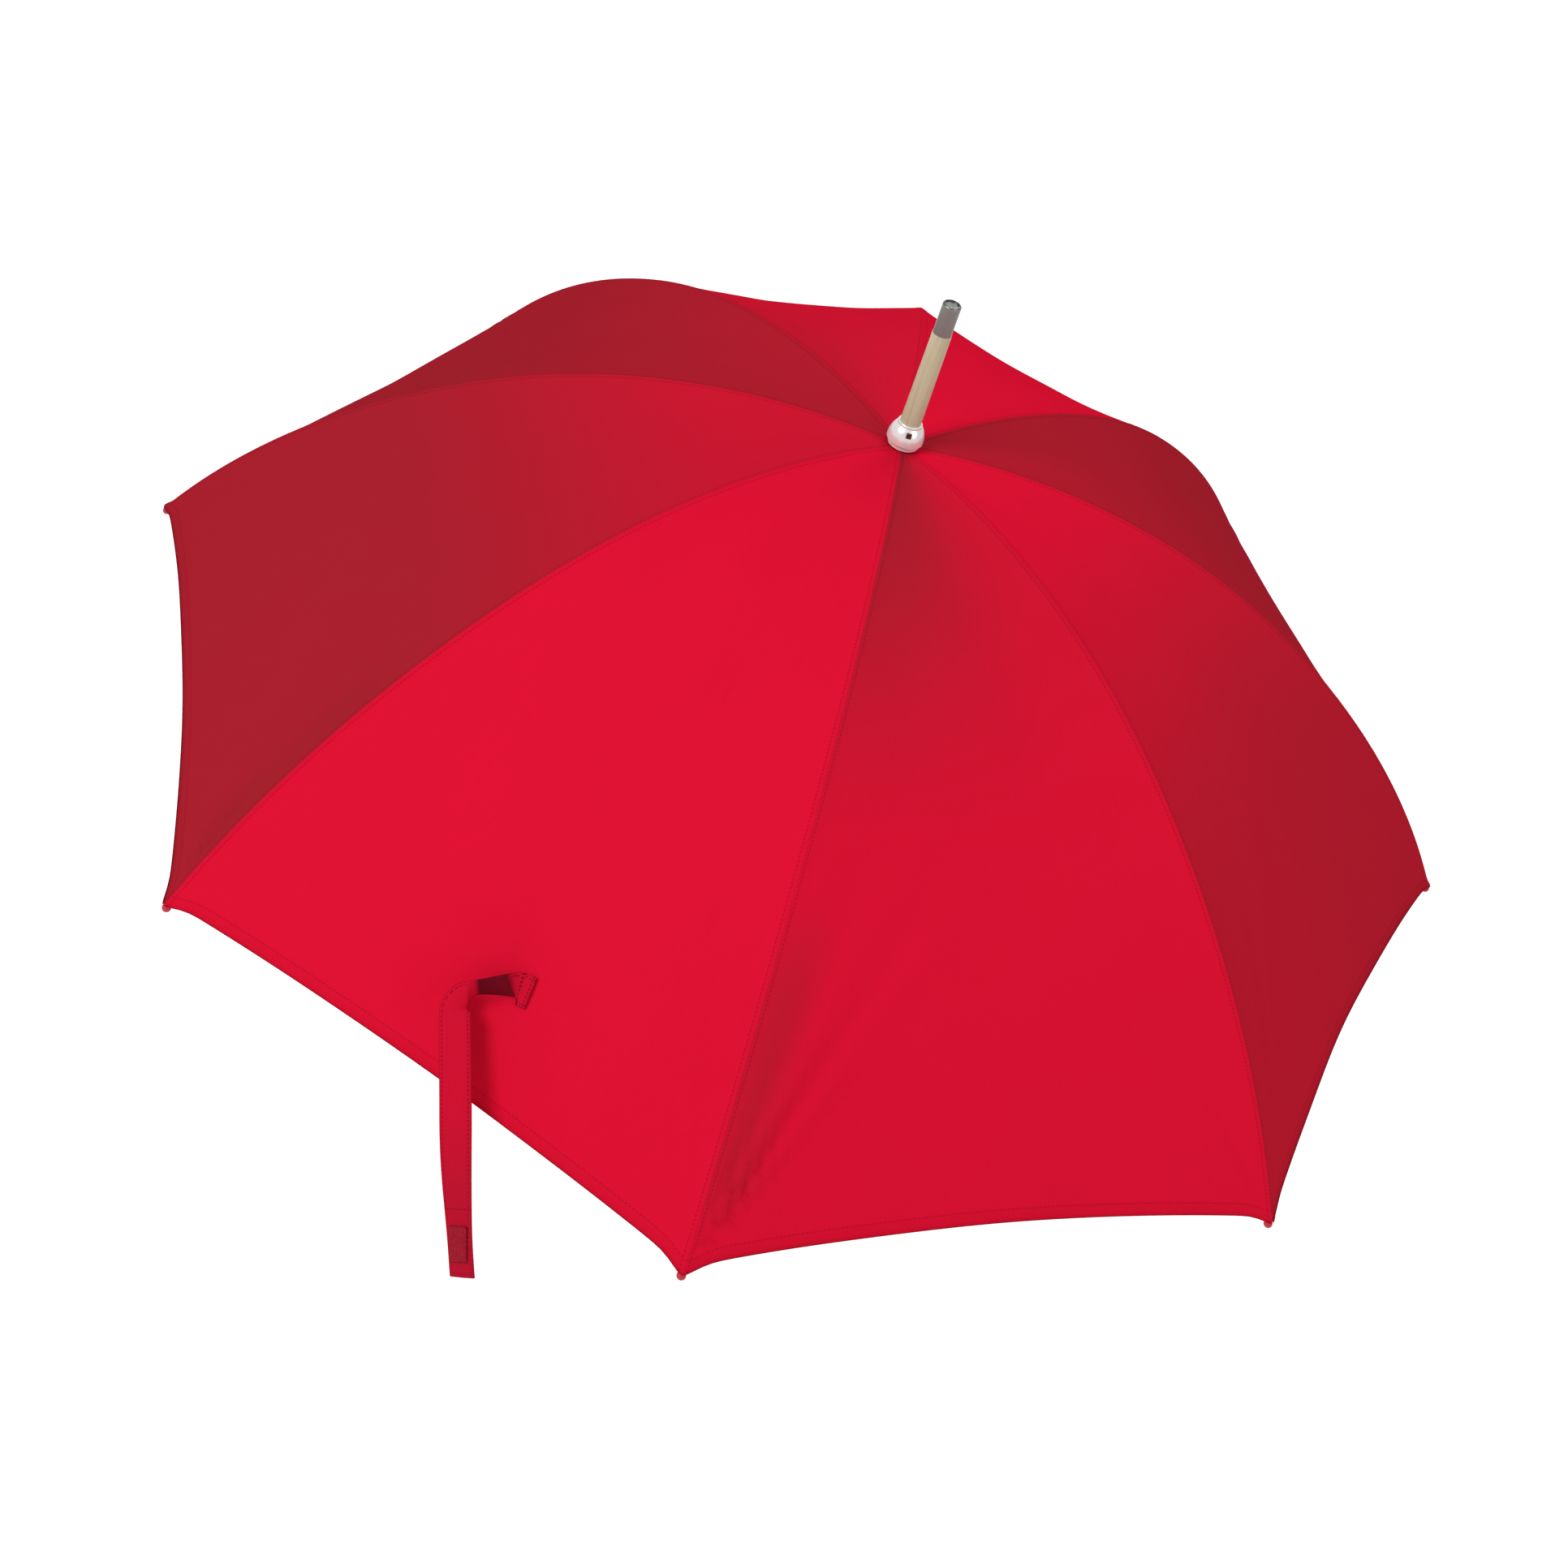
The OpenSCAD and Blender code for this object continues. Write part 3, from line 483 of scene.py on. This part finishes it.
def build_strap(material):
    """Closing strap as one closed ribbon, bending where it leaves its sewn end."""
    steps, columns = STRAP_STEPS, STRAP_COLUMNS
    (centres, headings, widths, distances), fall = strap_path(steps)
    half = STRAP_WIDTH / 2
    ring = []
    for side, way in ((1, 1), (-1, -1)):
        for j in range(columns + 1):
            u = way * (-1 + 2 * j / columns)
            # rounded, slightly cupped section with a stitched groove near each edge
            edge = 1 - 0.55 * smooth((abs(u) - 0.90) / 0.10)
            groove = 0.22 * math.exp(-(((abs(u) - 0.80) / 0.05) ** 2))
            ring.append((u, side * (edge - groove)))
    count = len(ring)
    n = np.cross(widths, headings)
    points = np.zeros((steps + 1, count, 3))
    uv = np.zeros((steps + 1, count, 2))
    for c, (u, h) in enumerate(ring):
        cup = STRAP_CUP * (u * u - 0.4)
        points[:, c] = centres + widths * (half * u) + n * (STRAP_HALF_THICK * float(h) + cup)
        uv[:, c, 0] = half * u
        uv[:, c, 1] = distances
    i, j = np.mgrid[0:steps, 0:count]
    a = (i * count + j).ravel()
    b = (i * count + (j + 1) % count).ravel()
    faces = [tuple(f) for f in np.stack([a, b, b + count, a + count], -1).tolist()]
    # closed ends
    faces.append(tuple(range(count - 1, -1, -1)))
    faces.append(tuple(steps * count + c for c in range(count)))
    mesh = bpy.data.meshes.new("closing_strap")
    mesh.from_pydata(points.reshape(-1, 3).tolist(), [], faces)
    mesh.shade_smooth()
    mesh.materials.append(material)
    add_uv(mesh, "cloth", uv.reshape(-1, 2))
    obj = bpy.data.objects.new("closing_strap", mesh)
    bpy.context.scene.collection.objects.link(obj)
    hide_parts("strap_tab", "strap")
    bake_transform(obj)
    return obj


def build_patch(material):
    """Square of hook tape with a bound edge, sewn near the free end of the strap."""
    (centres, headings, widths, _), _ = strap_path(STRAP_STEPS)
    c, h, w = centres[PATCH_STEP], headings[PATCH_STEP], widths[PATCH_STEP]
    n = np.cross(w, h)
    n = n if n @ np.array(CAMERA_BACK) > 0 else -n
    steps = np.linspace(-1, 1, PATCH_ROWS + 1)
    v, u = np.meshgrid(steps, steps, indexing="ij")
    edge = 1 - smooth((np.maximum(np.abs(u), np.abs(v)) - 0.86) / 0.14)
    rise = PATCH_RISE + PATCH_EDGE_RISE * edge
    wide, long = u * PATCH_HALF_WIDTH, v * PATCH_LENGTH / 2
    points = c + w * wide[..., None] + h * long[..., None] + n * rise[..., None]
    obj = new_object("strap_hook_tape", points, grid_faces(PATCH_ROWS, PATCH_ROWS), material)
    add_uv(obj.data, "cloth", np.stack([wide, long], -1).reshape(-1, 2))
    solid = obj.modifiers.new("thickness", "SOLIDIFY")
    solid.thickness = PATCH_THICK
    solid.offset = -1
    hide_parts("strap_patch")
    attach(obj, "strap")
    return obj


# ---------------------------------------------------------------- materials


def node_material(name):
    material = bpy.data.materials.new(name)
    material.use_nodes = True
    tree = material.node_tree
    return material, tree, tree.nodes["Principled BSDF"]


def add(tree, kind, **values):
    """A node with its properties and input values set."""
    node = tree.nodes.new(kind)
    for key, value in values.items():
        if hasattr(node, key):
            setattr(node, key, value)
        else:
            node.inputs[key.replace("_", " ")].default_value = value
    return node


def maths(tree, operation, a, b=None):
    node = tree.nodes.new("ShaderNodeMath")
    node.operation = operation
    for socket, value in ((0, a), (1, b)):
        if value is None:
            continue
        if isinstance(value, (int, float)):
            node.inputs[socket].default_value = value
        else:
            tree.links.new(value, node.inputs[socket])
    return node.outputs[0]


def ramp(tree, source, stops):
    node = tree.nodes.new("ShaderNodeValToRGB")
    points = node.color_ramp.elements
    while len(points) < len(stops):
        points.new(0.5)
    for point, (position, colour) in zip(points, stops):
        point.position = position
        point.color = (*colour, 1) if len(colour) == 3 else (colour[0],) * 3 + (1,)
    tree.links.new(source, node.inputs[0])
    return node.outputs[0]


def mix_colour(tree, factor, a, b):
    node = tree.nodes.new("ShaderNodeMix")
    node.data_type = "RGBA"
    for socket, value in ((node.inputs[0], factor), (node.inputs[6], a), (node.inputs[7], b)):
        if isinstance(value, (int, float)):
            socket.default_value = value
        elif isinstance(value, tuple):
            socket.default_value = (*value, 1)
        else:
            tree.links.new(value, socket)
    return node.outputs[2]


def bump(tree, shader, height, strength, distance):
    node = add(tree, "ShaderNodeBump", Strength=strength, Distance=distance)
    tree.links.new(height, node.inputs["Height"])
    tree.links.new(node.outputs[0], shader.inputs["Normal"])


def uv_axes(tree, name):
    """A UV map and its two coordinates."""
    uv = tree.nodes.new("ShaderNodeUVMap")
    uv.uv_map = name
    parts = tree.nodes.new("ShaderNodeSeparateXYZ")
    tree.links.new(uv.outputs[0], parts.inputs[0])
    return uv.outputs[0], parts.outputs[0], parts.outputs[1]


def noise(tree, vector, scale, detail=4.0, roughness=0.55):
    node = add(tree, "ShaderNodeTexNoise", Scale=scale, Detail=detail, Roughness=roughness)
    if vector is not None:
        tree.links.new(vector, node.inputs["Vector"])
    return node.outputs[0]


def stretched(tree, vector, scale):
    node = tree.nodes.new("ShaderNodeMapping")
    node.inputs["Scale"].default_value = scale
    tree.links.new(vector, node.inputs["Vector"])
    return node.outputs[0]


def object_coordinates(tree):
    return tree.nodes.new("ShaderNodeTexCoord").outputs["Object"]


def weave(tree, across, along, pitch):
    """Height of a plain weave from two crossed sets of threads."""
    warp = maths(tree, "SINE", maths(tree, "MULTIPLY", across, 2 * math.pi / pitch))
    weft = maths(tree, "SINE", maths(tree, "MULTIPLY", along, 2 * math.pi / pitch))
    return maths(tree, "MULTIPLY", warp, weft)


def stitches(tree, beside, along, at, half=STITCH_HALF, turns=STITCH_TURNS, gap=STITCH_GAP):
    """A row of stitches at the given distance beside an edge."""
    wave = maths(tree, "SINE", maths(tree, "MULTIPLY", along, turns))
    off = maths(tree, "ABSOLUTE", maths(tree, "SUBTRACT", beside, at))
    dash = maths(tree, "GREATER_THAN", wave, gap)
    return maths(tree, "MULTIPLY", dash, maths(tree, "LESS_THAN", off, half))


def canopy_material():
    """Pongee: fine weave, painted shade and sheen, felled seams with stitches, turned hem, faint crumple."""
    material, tree, shader = node_material("canopy_cloth")
    vector, across, along = uv_axes(tree, "cloth")
    _, seam, hem = uv_axes(tree, "edges")
    # painted light and shade: each gore's red is darkened towards black by its painted tint
    painted_light = uv_axes(tree, "shade_uv")[1]
    colour = mix_colour(tree, painted_light, (0, 0, 0), CLOTH_RED)
    # painted sheen: where a gore is painted darker, a little grey is mixed in as painted sheen
    painted_dark = maths(tree, "SUBTRACT", 1.0, painted_light)
    colour = mix_colour(tree, maths(tree, "MULTIPLY", painted_dark, 0.07), colour, PAINTED_SHEEN_GREY)
    patchy = noise(tree, stretched(tree, vector, (9, 5, 1)), 1.0, 3.0)
    colour = mix_colour(tree, maths(tree, "MULTIPLY", patchy, 0.22), colour, CLOTH_WORN)
    threads = noise(tree, stretched(tree, vector, (900, 40, 1)), 1.0, 2.0)
    colour = mix_colour(tree, maths(tree, "MULTIPLY", threads, 0.10), colour, CLOTH_THREAD)
    # seam and hem lie double, so they read a little darker, with a row of stitches
    seam_share = maths(tree, "DIVIDE", seam, SEAM_FOLD)
    seam_fold = ramp(tree, seam_share, [(0.0, (1.0,)), (0.85, (0.75,)), (1.0, (0.0,))])
    hem_share = maths(tree, "DIVIDE", hem, HEM_FOLD)
    hem_fold = ramp(tree, hem_share, [(0.0, (1.0,)), (0.9, (0.7,)), (1.0, (0.0,))])
    double = maths(tree, "MAXIMUM", seam_fold, hem_fold)
    colour = mix_colour(tree, maths(tree, "MULTIPLY", double, 0.07), colour, CLOTH_DOUBLE)
    stitch = maths(
        tree,
        "MAXIMUM",
        stitches(tree, seam, along, SEAM_STITCH),
        stitches(tree, hem, across, HEM_STITCH),
    )
    colour = mix_colour(tree, maths(tree, "MULTIPLY", stitch, 0.32), colour, STITCH_RED)
    tree.links.new(colour, shader.inputs["Base Color"])
    rough = maths(tree, "ADD", 0.50, maths(tree, "MULTIPLY", patchy, 0.16))
    tree.links.new(rough, shader.inputs["Roughness"])
    shader.inputs["Specular IOR Level"].default_value = 0.0
    crumple = noise(tree, stretched(tree, vector, (30, 16, 1)), 1.0, 5.0, 0.6)
    height = maths(tree, "MULTIPLY", crumple, 0.9)
    cloth = weave(tree, across, along, CLOTH_PITCH)
    height = maths(tree, "ADD", height, maths(tree, "MULTIPLY", cloth, 0.030))
    height = maths(tree, "SUBTRACT", height, maths(tree, "MULTIPLY", stitch, 0.25))
    bump(tree, shader, height, 0.35, 0.0012)
    return material


def strap_material():
    """Strap ribbon: weave, stitched edges, sewn end, painted shadow where it stands off, painted shade on the
    free end.
    """
    material, tree, shader = node_material("strap_cloth")
    vector, across, along = uv_axes(tree, "cloth")
    threads = noise(tree, stretched(tree, vector, (1200, 90, 1)), 1.0, 2.0)
    colour = mix_colour(tree, maths(tree, "MULTIPLY", threads, 0.22), STRAP_RED, STRAP_THREAD)
    edge = maths(tree, "SUBTRACT", STRAP_WIDTH / 2, maths(tree, "ABSOLUTE", across))
    thread = {"turns": STRAP_STITCH_TURNS, "gap": STRAP_STITCH_GAP}
    stitch = stitches(tree, edge, along, STRAP_STITCH, STRAP_STITCH_HALF, **thread)
    # box of stitches where the strap is sewn to the canopy, and two rows at the free end
    total = STRAP_SIDE + STRAP_TURN + STRAP_HANG
    for at in (*STRAP_CROSS_STITCHES, *(total - at for at in STRAP_END_STITCHES)):
        stitch = maths(tree, "MAXIMUM", stitch, stitches(tree, along, across, at, **thread))
    colour = mix_colour(tree, maths(tree, "MULTIPLY", stitch, 0.6), colour, STRAP_STITCH_RED)
    rim = ramp(tree, maths(tree, "DIVIDE", edge, 0.0012), [(0.0, (1.0,)), (1.0, (0.0,))])
    colour = mix_colour(tree, maths(tree, "MULTIPLY", rim, 0.35), colour, STRAP_RIM)
    # the end that hangs clear of the canopy is in shade
    shade = ramp(tree, maths(tree, "DIVIDE", along, total), [(0.52, (0.0,)), (0.78, (0.45,)), (1.0, (0.55,))])
    colour = mix_colour(tree, shade, colour, STRAP_SHADE)
    # painted shadow: a dark band painted across the strap where it stands off the canopy, for its shaded
    # underside
    inside = ramp(
        tree,
        maths(tree, "DIVIDE", along, STRAP_SIDE),
        [(0.26, (0.0,)), (0.30, (0.82,)), (0.72, (0.88,)), (0.80, (0.0,))],
    )
    colour = mix_colour(tree, inside, colour, STRAP_PAINTED_SHADOW)
    tree.links.new(colour, shader.inputs["Base Color"])
    shader.inputs["Roughness"].default_value = 0.62
    shader.inputs["Specular IOR Level"].default_value = 0.0
    cloth = weave(tree, across, along, STRAP_PITCH)
    height = maths(tree, "ADD", cloth, maths(tree, "MULTIPLY", threads, 0.8))
    height = maths(tree, "SUBTRACT", height, maths(tree, "MULTIPLY", stitch, 1.6))
    bump(tree, shader, height, 0.35, 0.0003)
    return material


def hook_material():
    """Hook side of a touch fastener: a field of tiny hooks."""
    material, tree, shader = node_material("hook_tape")
    vector, across, along = uv_axes(tree, "cloth")
    hooks = add(tree, "ShaderNodeTexVoronoi", Scale=1.0)
    tree.links.new(stretched(tree, vector, (1500, 1500, 1)), hooks.inputs["Vector"])
    colour = mix_colour(tree, hooks.outputs["Distance"], *HOOK_RED)
    tree.links.new(colour, shader.inputs["Base Color"])
    shader.inputs["Roughness"].default_value = 0.85
    shader.inputs["Specular IOR Level"].default_value = 0.05
    bump(tree, shader, hooks.outputs["Distance"], 0.8, 0.0005)
    return material


def wood_material(name, pale, dark, pore, roughness, coat):
    """Straight-grained wood along Z: growth bands, fine pores and small knots of colour."""
    material, tree, shader = node_material(name)
    place = object_coordinates(tree)
    bands = noise(tree, stretched(tree, place, (90, 90, 5)), 1.0, 6.0, 0.6)
    grain = noise(tree, stretched(tree, place, (700, 700, 14)), 1.0, 3.0)
    between = tuple(0.5 * (a + b) for a, b in zip(pale, dark))
    colour = ramp(tree, bands, [(0.30, dark), (0.52, pale), (0.72, between)])
    colour = mix_colour(tree, ramp(tree, grain, [(0.55, (0.0,)), (0.75, (0.55,))]), colour, pore)
    worn = noise(tree, place, 24.0, 2.0)
    colour = mix_colour(tree, maths(tree, "MULTIPLY", worn, 0.18), colour, tuple(0.72 * c for c in pale))
    tree.links.new(colour, shader.inputs["Base Color"])
    rough = maths(tree, "ADD", roughness, maths(tree, "MULTIPLY", grain, 0.18))
    tree.links.new(rough, shader.inputs["Roughness"])
    shader.inputs["Coat Weight"].default_value = coat
    shader.inputs["Coat Roughness"].default_value = 0.18
    bump(tree, shader, maths(tree, "ADD", grain, maths(tree, "MULTIPLY", bands, 0.6)), 0.30, 0.0004)
    return material


def metal_material(name, colour, roughness, brushed, scale=(60, 60, 900), spots=0.0, metallic=1.0):
    """Metal with fine tool marks along one way, smudges, and dull spots where it is worn."""
    material, tree, shader = node_material(name)
    place = object_coordinates(tree)
    marks = noise(tree, stretched(tree, place, scale), 1.0, 3.0)
    smudge = noise(tree, place, 60.0, 4.0)
    shade = mix_colour(tree, maths(tree, "MULTIPLY", smudge, 0.30), colour, tuple(0.62 * c for c in colour))
    if spots:
        dull = ramp(tree, noise(tree, place, 420.0, 5.0), [(0.62, (0.0,)), (0.72, (1.0,))])
        shade = mix_colour(tree, maths(tree, "MULTIPLY", dull, spots), shade, TARNISH)
    tree.links.new(shade, shader.inputs["Base Color"])
    shader.inputs["Metallic"].default_value = metallic
    rough = maths(tree, "ADD", roughness, maths(tree, "MULTIPLY", marks, brushed))
    rough = maths(tree, "ADD", rough, maths(tree, "MULTIPLY", smudge, 0.10))
    tree.links.new(rough, shader.inputs["Roughness"])
    bump(tree, shader, marks, 0.25 if brushed > 0.1 else 0.04, 0.0002)
    return material


def plastic_material(name, colour, worn, roughness, grain):
    """Moulded plastic with a fine spark-eroded grain and paler handling marks."""
    material, tree, shader = node_material(name)
    place = object_coordinates(tree)
    speck = noise(tree, place, 900.0, 3.0)
    marks = noise(tree, place, 70.0, 5.0)
    shade = mix_colour(tree, ramp(tree, marks, [(0.48, (0.0,)), (0.72, (0.6,))]), colour, worn)
    tree.links.new(shade, shader.inputs["Base Color"])
    rough = maths(tree, "ADD", roughness, maths(tree, "MULTIPLY", speck, 0.2))
    tree.links.new(rough, shader.inputs["Roughness"])
    bump(tree, shader, speck, grain, 0.0003)
    return material


def dress(nodes, frame, material):
    """Gives CAD nodes a finish."""
    for name in nodes:
        mesh = frame["nodes"][name].data
        mesh.materials.clear()
        mesh.materials.append(material)


def each_rib(stem):
    """Names of the eight nodes that repeat round the umbrella."""
    return [f"{stem}_{k}" for k in range(1, RIBS + 1)]


def dress_frame(frame):
    """Finishes of all the CAD nodes that show."""
    steel = metal_material("frame_steel", STEEL, 0.28, 0.18, (300, 300, 300), spots=0.5)
    wire = metal_material("wire_steel", WIRE, 0.20, 0.10, (500, 500, 500))
    chrome = metal_material("chrome_trim", CHROME, 0.14, 0.06, (40, 40, 300), spots=0.15, metallic=0.40)
    brass = metal_material("tack_brass", BRASS, 0.40, 0.15, (400, 400, 400), spots=0.3)
    nylon = plastic_material("hub_nylon", *HUB_NYLON, 0.45, 0.20)
    dress(["shaft"], frame, wood_material("shaft_wood", *SHAFT_WOOD, 0.42, 0.15))
    dress(["handle"], frame, wood_material("handle_wood", *HANDLE_WOOD, 0.30, 0.6))
    dress(["ferrule_tip"], frame, metal_material("tip_metal", TIP_METAL, 0.24, 0.18, spots=0.4))
    dress(["crown_cap", "handle_collar"], frame, chrome)
    dress(["cap_tack"], frame, brass)
    dress(each_rib("rib_inner") + each_rib("stretcher"), frame, steel)
    dress(["notch_wire", "runner_wire", "stop_pin", "catch_pins", "top_catch", "bottom_catch"], frame, wire)
    dress(each_rib("rib_outer"), frame, plastic_material("rib_fibreglass", *GLASS_FIBRE, 0.28, 0.10))
    dress(each_rib("rib_tip"), frame, plastic_material("tip_nub_plastic", *NUB_RED, 0.45, 0.08))
    dress(["top_notch", "runner"], frame, nylon)
    dress(["crown_washer"], frame, plastic_material("washer_fibre", *WASHER_FIBRE, 0.7, 0.3))


# ---------------------------------------------------------------- stage


def floor_material():
    """Pale paper that glows faintly, as an evenly lit studio floor does."""
    material, tree, shader = node_material("floor_paper")
    place = object_coordinates(tree)
    mottle = noise(tree, place, 1.5, 3.0)
    colour = mix_colour(tree, mottle, *FLOOR_GREYS)
    tree.links.new(colour, shader.inputs["Base Color"])
    shader.inputs["Roughness"].default_value = 0.9
    shader.inputs["Specular IOR Level"].default_value = 0.1
    shader.inputs["Emission Color"].default_value = (1, 1, 1, 1)
    shader.inputs["Emission Strength"].default_value = FLOOR_GLOW
    return material


def area_light(name, way, distance, size, power):
    """Round area light in the given camera direction from the middle of the canopy."""
    right, up, back = way
    direction = Vector(CAMERA_RIGHT) * right + Vector(CAMERA_UP) * up + Vector(CAMERA_BACK) * back
    at = Vector(LIT_POINT) + direction.normalized() * distance
    light = bpy.data.lights.new(name, "AREA")
    light.shape = "DISK"
    light.size = size
    light.energy = power
    obj = bpy.data.objects.new(name, light)
    obj.location = at
    obj.rotation_euler = (Vector(LIT_POINT) - at).to_track_quat("-Z", "Y").to_euler()
    bpy.context.scene.collection.objects.link(obj)


def build_stage():
    corners = [(x * FLOOR_HALF, y * FLOOR_HALF, FLOOR_Z) for x, y in ((-1, -1), (1, -1), (1, 1), (-1, 1))]
    mesh = bpy.data.meshes.new("floor")
    mesh.from_pydata(corners, [], [(0, 1, 2, 3)])
    mesh.materials.append(floor_material())
    floor = bpy.data.objects.new("floor", mesh)
    bpy.context.scene.collection.objects.link(floor)
    world = bpy.data.worlds.new("studio")
    bpy.context.scene.world = world
    world.use_nodes = True
    background = world.node_tree.nodes["Background"]
    background.inputs["Color"].default_value = (1, 1, 1, 1)
    background.inputs["Strength"].default_value = WORLD_LIGHT
    for name, light in LIGHTS.items():
        area_light(name, *light)


def build_camera():
    data = bpy.data.cameras.new("photo_camera")
    data.sensor_width = SENSOR
    data.lens = CAMERA_LENS
    data.clip_end = CAMERA_FAR
    camera = bpy.data.objects.new("photo_camera", data)
    turn = Matrix((CAMERA_RIGHT, CAMERA_UP, CAMERA_BACK)).transposed().to_4x4()
    camera.matrix_world = Matrix.Translation(CAMERA_AT) @ turn
    bpy.context.scene.collection.objects.link(camera)
    bpy.context.scene.camera = camera


def main():
    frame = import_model()
    bpy.context.scene.view_settings.view_transform = "Standard"
    dress_frame(frame)
    build_canopy(canopy_material())
    build_strap(strap_material())
    build_patch(hook_material())
    build_stage()
    build_camera()


main()
